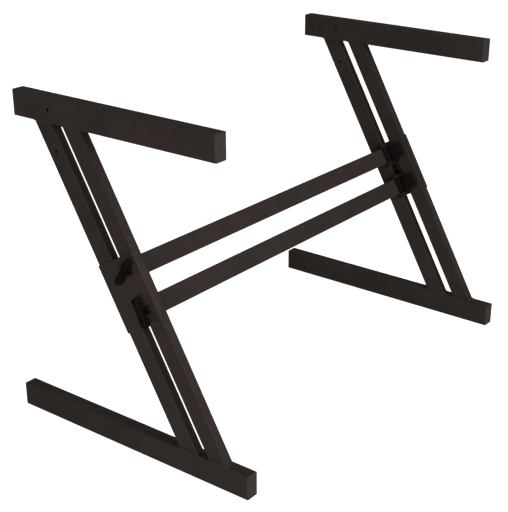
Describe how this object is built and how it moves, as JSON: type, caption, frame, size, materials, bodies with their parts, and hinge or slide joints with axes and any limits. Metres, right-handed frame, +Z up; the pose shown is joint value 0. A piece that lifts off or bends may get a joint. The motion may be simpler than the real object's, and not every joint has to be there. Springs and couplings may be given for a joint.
{
  "type": "folding keyboard stand",
  "caption": "Folding keyboard stand: two Z-shaped side frames of twin diagonal tubes, hinged to a pair of crossbars, with clamp knobs; black powder-coated steel.",
  "frame": {"origin": "on the floor, midway between the two side frames and midway along the feet", "axes": "+Z up; -Y towards the player; +X to the player's right, along the crossbars"},
  "size_m": [1.001, 0.592, 0.68],
  "materials": {
    "powder_coat": "semi-matt black powder coat with a faint brown cast",
    "cap_plastic": "moulded black polypropylene, fine spark texture",
    "knob_plastic": "moulded black nylon, fine texture",
    "hinge_nylon": "glass-filled black nylon",
    "cast_black": "black-coated zinc casting",
    "blackened_steel": "blackened steel",
    "zinc_steel": "bright zinc-plated steel",
    "insert_brass": "plain brass"
  },
  "bodies": {
    "crossbars": {"hinge_pin_clips": "blackened_steel", "left_lower_hinge_pin": "blackened_steel", "left_lower_knuckle": "cast_black", "left_upper_hinge_pin": "blackened_steel", "left_upper_knuckle": "cast_black", "lower_crossbar": "powder_coat", "lower_crossbar_screws": "blackened_steel", "right_lower_hinge_pin": "blackened_steel", "right_lower_knuckle": "cast_black", "right_upper_hinge_pin": "blackened_steel", "right_upper_knuckle": "cast_black", "upper_crossbar": "powder_coat", "upper_crossbar_screws": "blackened_steel"},
    "left_frame": {"left_arm_front_cap": "cap_plastic", "left_arm_rear_cap": "cap_plastic", "left_centre_saddle": "powder_coat", "left_crush_sleeves": "zinc_steel", "left_foot": "powder_coat", "left_foot_front_cap": "cap_plastic", "left_foot_rear_cap": "cap_plastic", "left_front_diagonal": "powder_coat", "left_hinge_block_screws": "blackened_steel", "left_insert_nuts": "insert_brass", "left_knob_washers": "zinc_steel", "left_lower_hinge_block": "hinge_nylon", "left_rear_diagonal": "powder_coat", "left_top_arm": "powder_coat", "left_upper_hinge_block": "hinge_nylon"},
    "right_frame": {"right_arm_front_cap": "cap_plastic", "right_arm_rear_cap": "cap_plastic", "right_centre_saddle": "powder_coat", "right_crush_sleeves": "zinc_steel", "right_foot": "powder_coat", "right_foot_front_cap": "cap_plastic", "right_foot_rear_cap": "cap_plastic", "right_front_diagonal": "powder_coat", "right_hinge_block_screws": "blackened_steel", "right_insert_nuts": "insert_brass", "right_knob_washers": "zinc_steel", "right_lower_hinge_block": "hinge_nylon", "right_rear_diagonal": "powder_coat", "right_top_arm": "powder_coat", "right_upper_hinge_block": "hinge_nylon"},
    "left_upper_knob": {"left_upper_knob": "knob_plastic", "left_upper_knob_stud": "zinc_steel"},
    "left_lower_knob": {"left_lower_knob": "knob_plastic", "left_lower_knob_stud": "zinc_steel"},
    "right_upper_knob": {"right_upper_knob": "knob_plastic", "right_upper_knob_stud": "zinc_steel"},
    "right_lower_knob": {"right_lower_knob": "knob_plastic", "right_lower_knob_stud": "zinc_steel"}
  },
  "joints": [
    {"name": "left_fold", "type": "hinge", "parent": "crossbars", "child": "left_frame", "pos_m": [-0.4365, -0.02174, 0.34], "axis": [0, 0.4955, 0.8686], "range_deg": [0, 90]},
    {"name": "right_fold", "type": "hinge", "parent": "crossbars", "child": "right_frame", "pos_m": [0.4365, -0.02174, 0.34], "axis": [0, -0.4955, -0.8686], "range_deg": [0, 90]},
    {"name": "left_upper_knob_turn", "type": "hinge", "parent": "left_frame", "child": "left_upper_knob", "pos_m": [-0.49, -0.02426, 0.38806], "axis": [-1, 0, 0], "continuous": true},
    {"name": "left_lower_knob_turn", "type": "hinge", "parent": "left_frame", "child": "left_lower_knob", "pos_m": [-0.49, -0.0634, 0.31944], "axis": [-1, 0, 0], "continuous": true},
    {"name": "right_upper_knob_turn", "type": "hinge", "parent": "right_frame", "child": "right_upper_knob", "pos_m": [0.49, -0.02426, 0.38806], "axis": [1, 0, 0], "continuous": true},
    {"name": "right_lower_knob_turn", "type": "hinge", "parent": "right_frame", "child": "right_lower_knob", "pos_m": [0.49, -0.0634, 0.31944], "axis": [1, 0, 0], "continuous": true}
  ]
}
